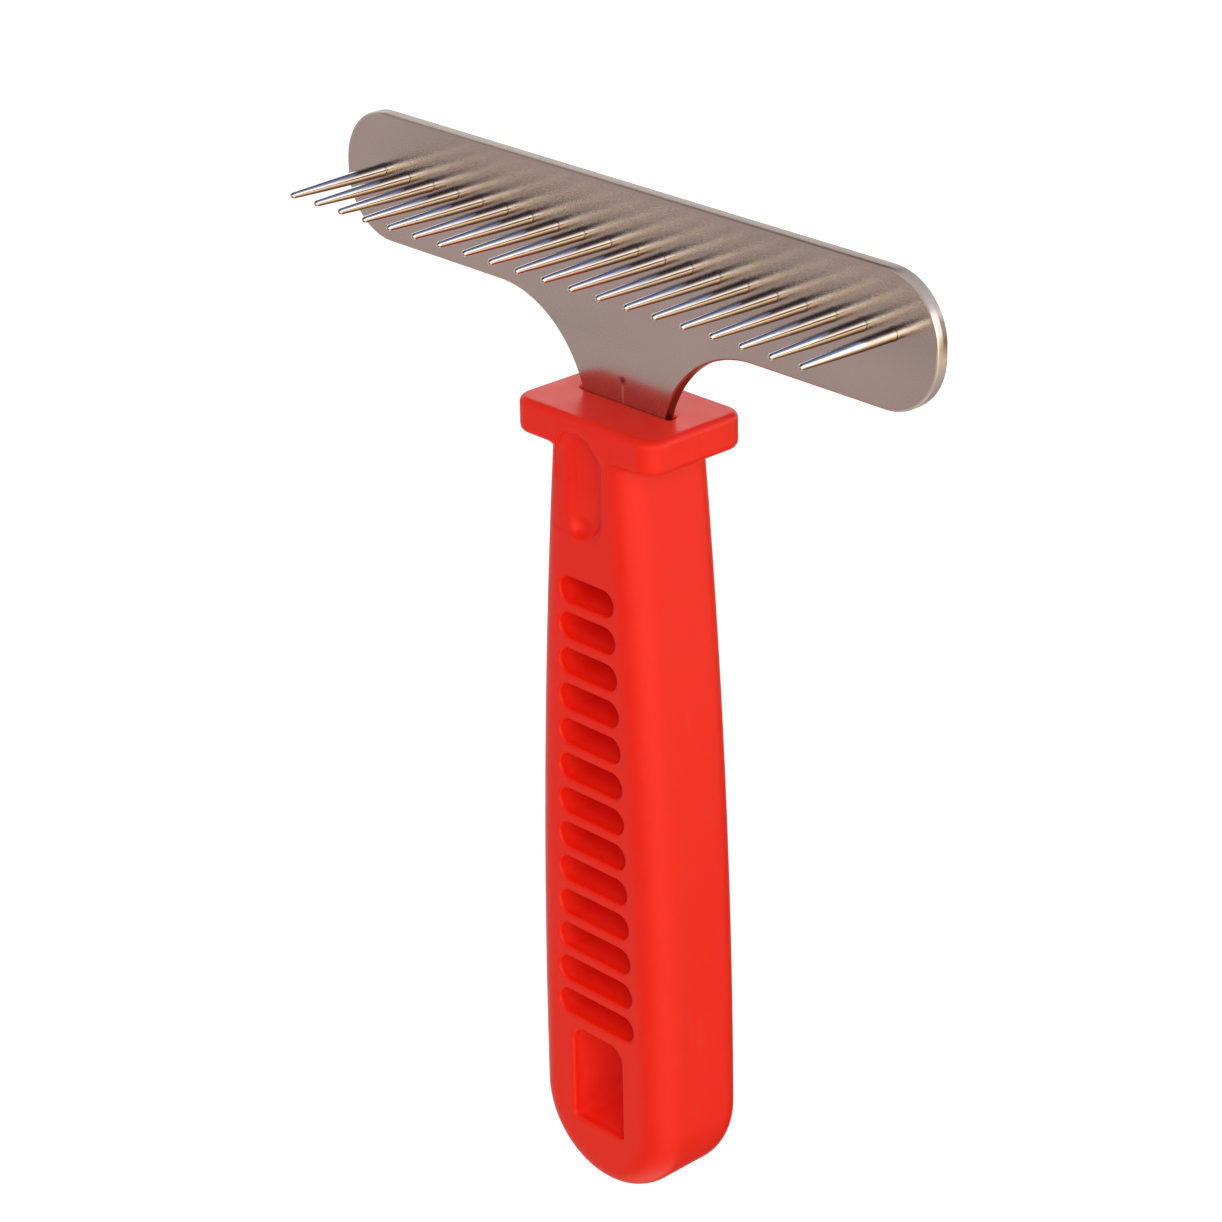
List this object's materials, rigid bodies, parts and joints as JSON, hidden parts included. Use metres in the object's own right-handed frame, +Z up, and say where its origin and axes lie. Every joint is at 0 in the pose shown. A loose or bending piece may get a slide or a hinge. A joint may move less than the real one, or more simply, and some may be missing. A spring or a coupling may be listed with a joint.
{
  "type": "undercoat rake",
  "caption": "Pet undercoat rake: a T-shaped sheet steel head with a row of polished tapered pins, moulded into a red plastic handle with a guard, grip pockets and a hang hole.",
  "frame": {"origin": "Middle of the rectangular hang hole, on the mid-plane of the head plate.", "axes": "+Z runs up the handle to the head, the longest way through the part. +X runs along the head. The pins point to -Y, so +Y is the back, the shortest way through the part."},
  "size_m": [0.11, 0.0257, 0.1475],
  "materials": {
    "head_steel": "satin",
    "pin_steel": "polished",
    "handle_plastic": "semi-gloss"
  },
  "bodies": {
    "root": {"blade": "head_steel", "handle": "handle_plastic", "pin_01": "pin_steel", "pin_02": "pin_steel", "pin_03": "pin_steel", "pin_04": "pin_steel", "pin_05": "pin_steel", "pin_06": "pin_steel", "pin_07": "pin_steel", "pin_08": "pin_steel", "pin_09": "pin_steel", "pin_10": "pin_steel", "pin_11": "pin_steel", "pin_12": "pin_steel", "pin_13": "pin_steel", "pin_14": "pin_steel", "pin_15": "pin_steel", "pin_16": "pin_steel", "pin_17": "pin_steel", "pin_18": "pin_steel", "pin_19": "pin_steel", "pin_20": "pin_steel"}
  },
  "joints": []
}
